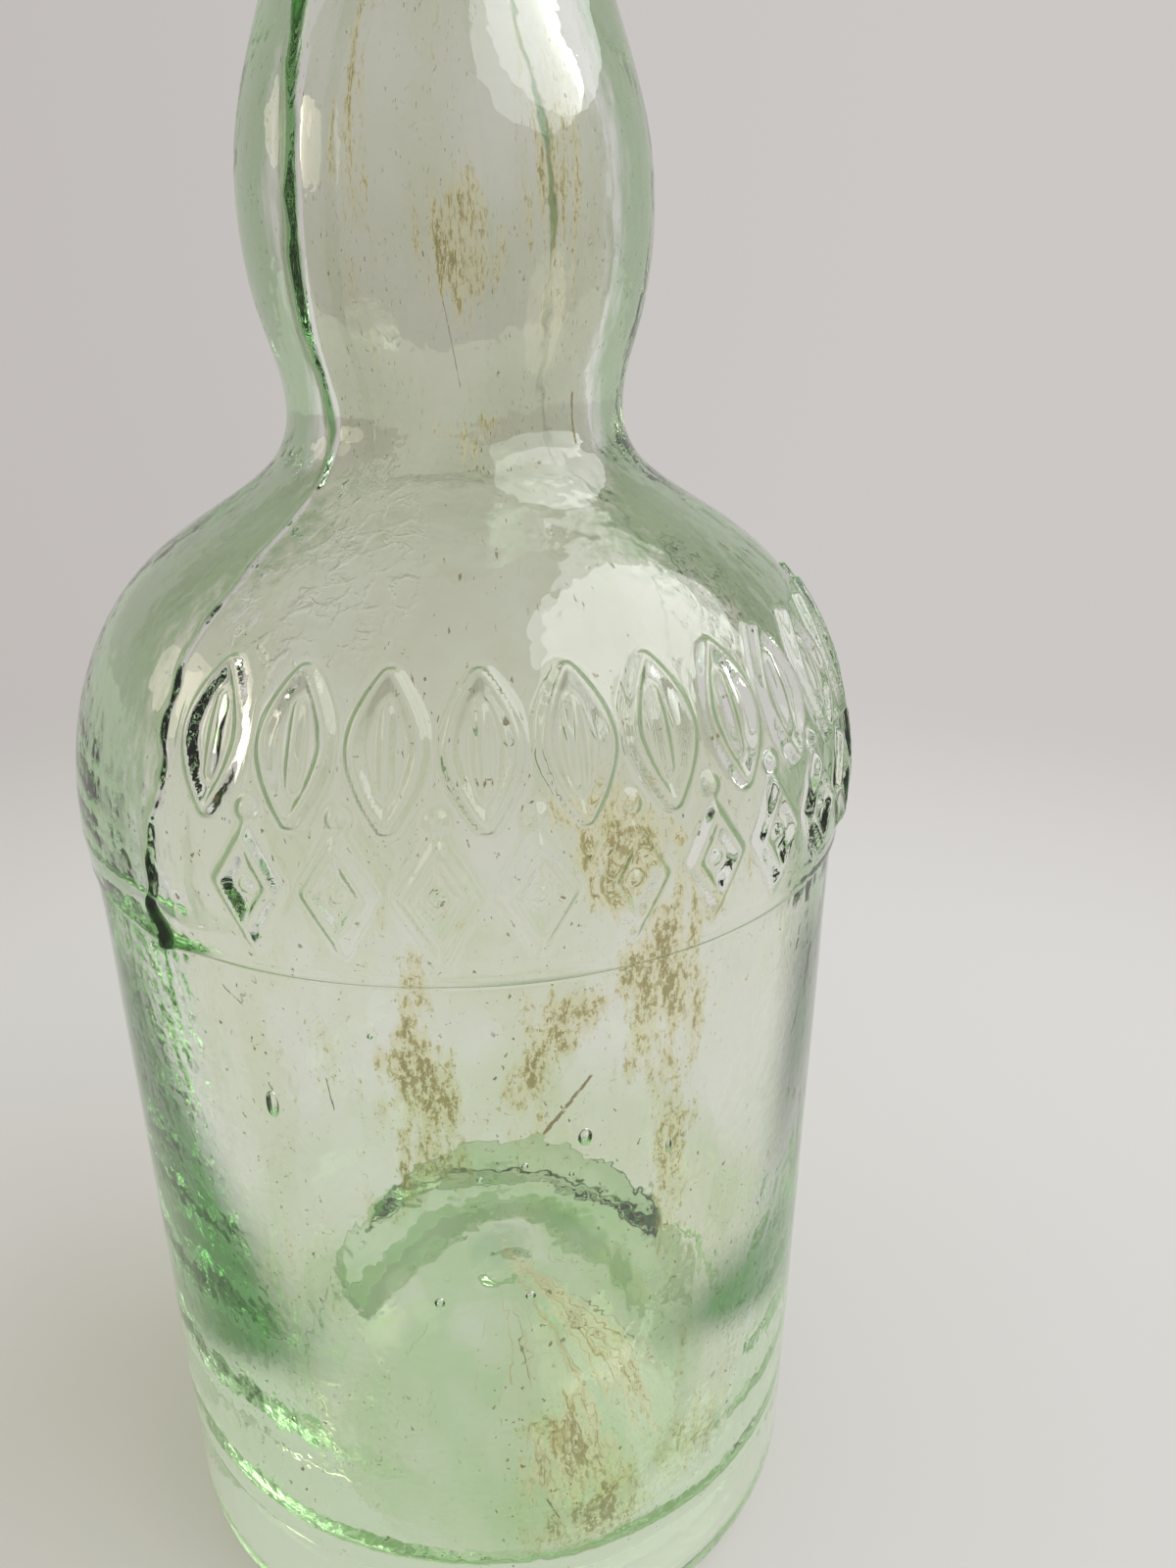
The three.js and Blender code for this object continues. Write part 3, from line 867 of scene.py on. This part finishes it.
studio = dict(
    floorRadius=4.0, drop=0.0003, fade=(0.16, 0.42),  # the paper turns into the backdrop at these distances
    paper=(0.80, 0.775, 0.75), through=0.95, glow=(0.68, 0.66, 0.63),  # glow is paper seen through glass
    fill=(0.36, 0.36, 0.36), dim=(0.535, 0.505, 0.485), backdrop=(0.60, 0.575, 0.56), dimSide=(-0.5, 0.4),
    lampAim=(0, 0, 0.12),
)

lamps = dict(  # azimuth and rise, where azimuth 0 is +Y and 90 is +X, then metres and brightness
    window=dict(at=(100, 49), away=2.0, size=(2.6, 1.9), glow=2.8, colour=(0.97, 1.0, 1.0)),
    warm_lamp=dict(at=(-86, 20), away=1.6, size=(1.0, 0.6), glow=2.0, colour=(1.0, 0.88, 0.68)),
)

photoView = dict(
    width=1200, height=1600, focal=1250,  # in pixels of the photograph
    sensor=36.0, place=(0.0, -148.3, 164.3), pitch=22.01, yaw=5.85, roll=-0.10, clip=(0.005, 50),
)


def paperFinish():
    # plain paper that takes the shadow and turns into the backdrop, which the glass shows in its place
    f = newFinish("paper")
    parts = f.node("SeparateXYZ", {}, {0: f.node("TexCoord", output="Object")})
    x, y = parts.output("X"), parts.output("Y")
    away = (x * x + y * y) ** 0.5
    sheet = f.node("BsdfPrincipled", {}, {
        "Base Color": studio["paper"], "Roughness": 0.9, "Specular IOR Level": 0.2,
    })
    colour = f.blend((x / away).ramp(*studio["dimSide"]), studio["dim"], studio["backdrop"])
    far = f.node("Emission", {}, {"Color": colour, "Strength": 1.0})
    ground = f.node("MixShader", {}, {0: away.ramp(*studio["fade"]), 1: sheet, 2: far})
    shown = f.node("Emission", {}, {"Color": studio["glow"], "Strength": 1.0})
    rays = f.node("LightPath")
    through = rays.output("Is Transmission Ray") * studio["through"]
    both = f.node("MixShader", {}, {0: through, 1: ground, 2: shown})
    f.node("OutputMaterial", {}, {"Surface": both})
    return f


def addStage():
    angles = evenAngles(96)
    across, along = np.sin(angles) * studio["floorRadius"], -np.cos(angles) * studio["floorRadius"]
    rim = np.stack((across, along, 0 * angles - studio["drop"]), axis=-1)
    mesh = bpy.data.meshes.new("paper")
    mesh.from_pydata(rim.tolist(), [], [tuple(range(len(rim)))])
    sheet = bpy.data.objects.new("paper", mesh)
    scene.collection.objects.link(sheet)
    mesh.materials.append(paperFinish().owner)


def addLamp(name, at, away, size, glow, colour):
    data = bpy.data.lights.new(name, "AREA")
    data.shape = "ELLIPSE"
    data.size, data.size_y = size
    data.energy = glow * math.pi**2 / 4 * size[0] * size[1]
    data.color = colour
    lamp = bpy.data.objects.new(name, data)
    scene.collection.objects.link(lamp)
    azimuth, rise = (math.radians(a) for a in at)
    level = math.cos(rise)
    towards = Vector((math.sin(azimuth) * level, math.cos(azimuth) * level, math.sin(rise)))
    lamp.location = Vector(studio["lampAim"]) + towards * away
    lamp.rotation_mode = "QUATERNION"
    lamp.rotation_quaternion = towards.to_track_quat("Z", "Y")


def addLight():
    s = studio
    world = bpy.data.worlds.new("room")
    scene.world = world
    f = Finish(world)
    rays = f.node("LightPath")
    seen = rays.most(rays.output("Is Glossy Ray")).most(rays.output("Is Transmission Ray"))
    fill = f.node("Background", {}, {"Color": s["fill"], "Strength": 1.0})
    parts = f.node("SeparateXYZ", {}, {0: f.node("TexCoord", output="Generated")})
    colour = f.blend(parts.ramp(*s["dimSide"]), s["dim"], s["backdrop"])
    backdrop = f.node("Background", {}, {"Color": colour, "Strength": 1.0})
    sky = f.node("MixShader", {}, {0: seen, 1: fill, 2: backdrop})
    f.node("OutputWorld", {}, {"Surface": sky})
    for name, setting in lamps.items():
        addLamp(name, **setting)


def addCamera():
    v = photoView
    data = bpy.data.cameras.new("photo_camera")
    data.sensor_width = v["sensor"]
    data.lens = v["sensor"] * v["focal"] / max(v["width"], v["height"])
    data.clip_start, data.clip_end = v["clip"]
    camera = bpy.data.objects.new("photo_camera", data)
    scene.collection.objects.link(camera)
    turn = Matrix.Rotation(-math.radians(v["yaw"]), 4, "Z")
    turn @= Matrix.Rotation(math.radians(90 - v["pitch"]), 4, "X")
    turn @= Matrix.Rotation(math.radians(v["roll"]), 4, "Z")
    camera.matrix_world = Matrix.Translation(Vector(v["place"]) * mm) @ turn
    scene.camera = camera


addStage()
addLight()
addCamera()
print("stage, light and camera")
addStopper()
addGlass()
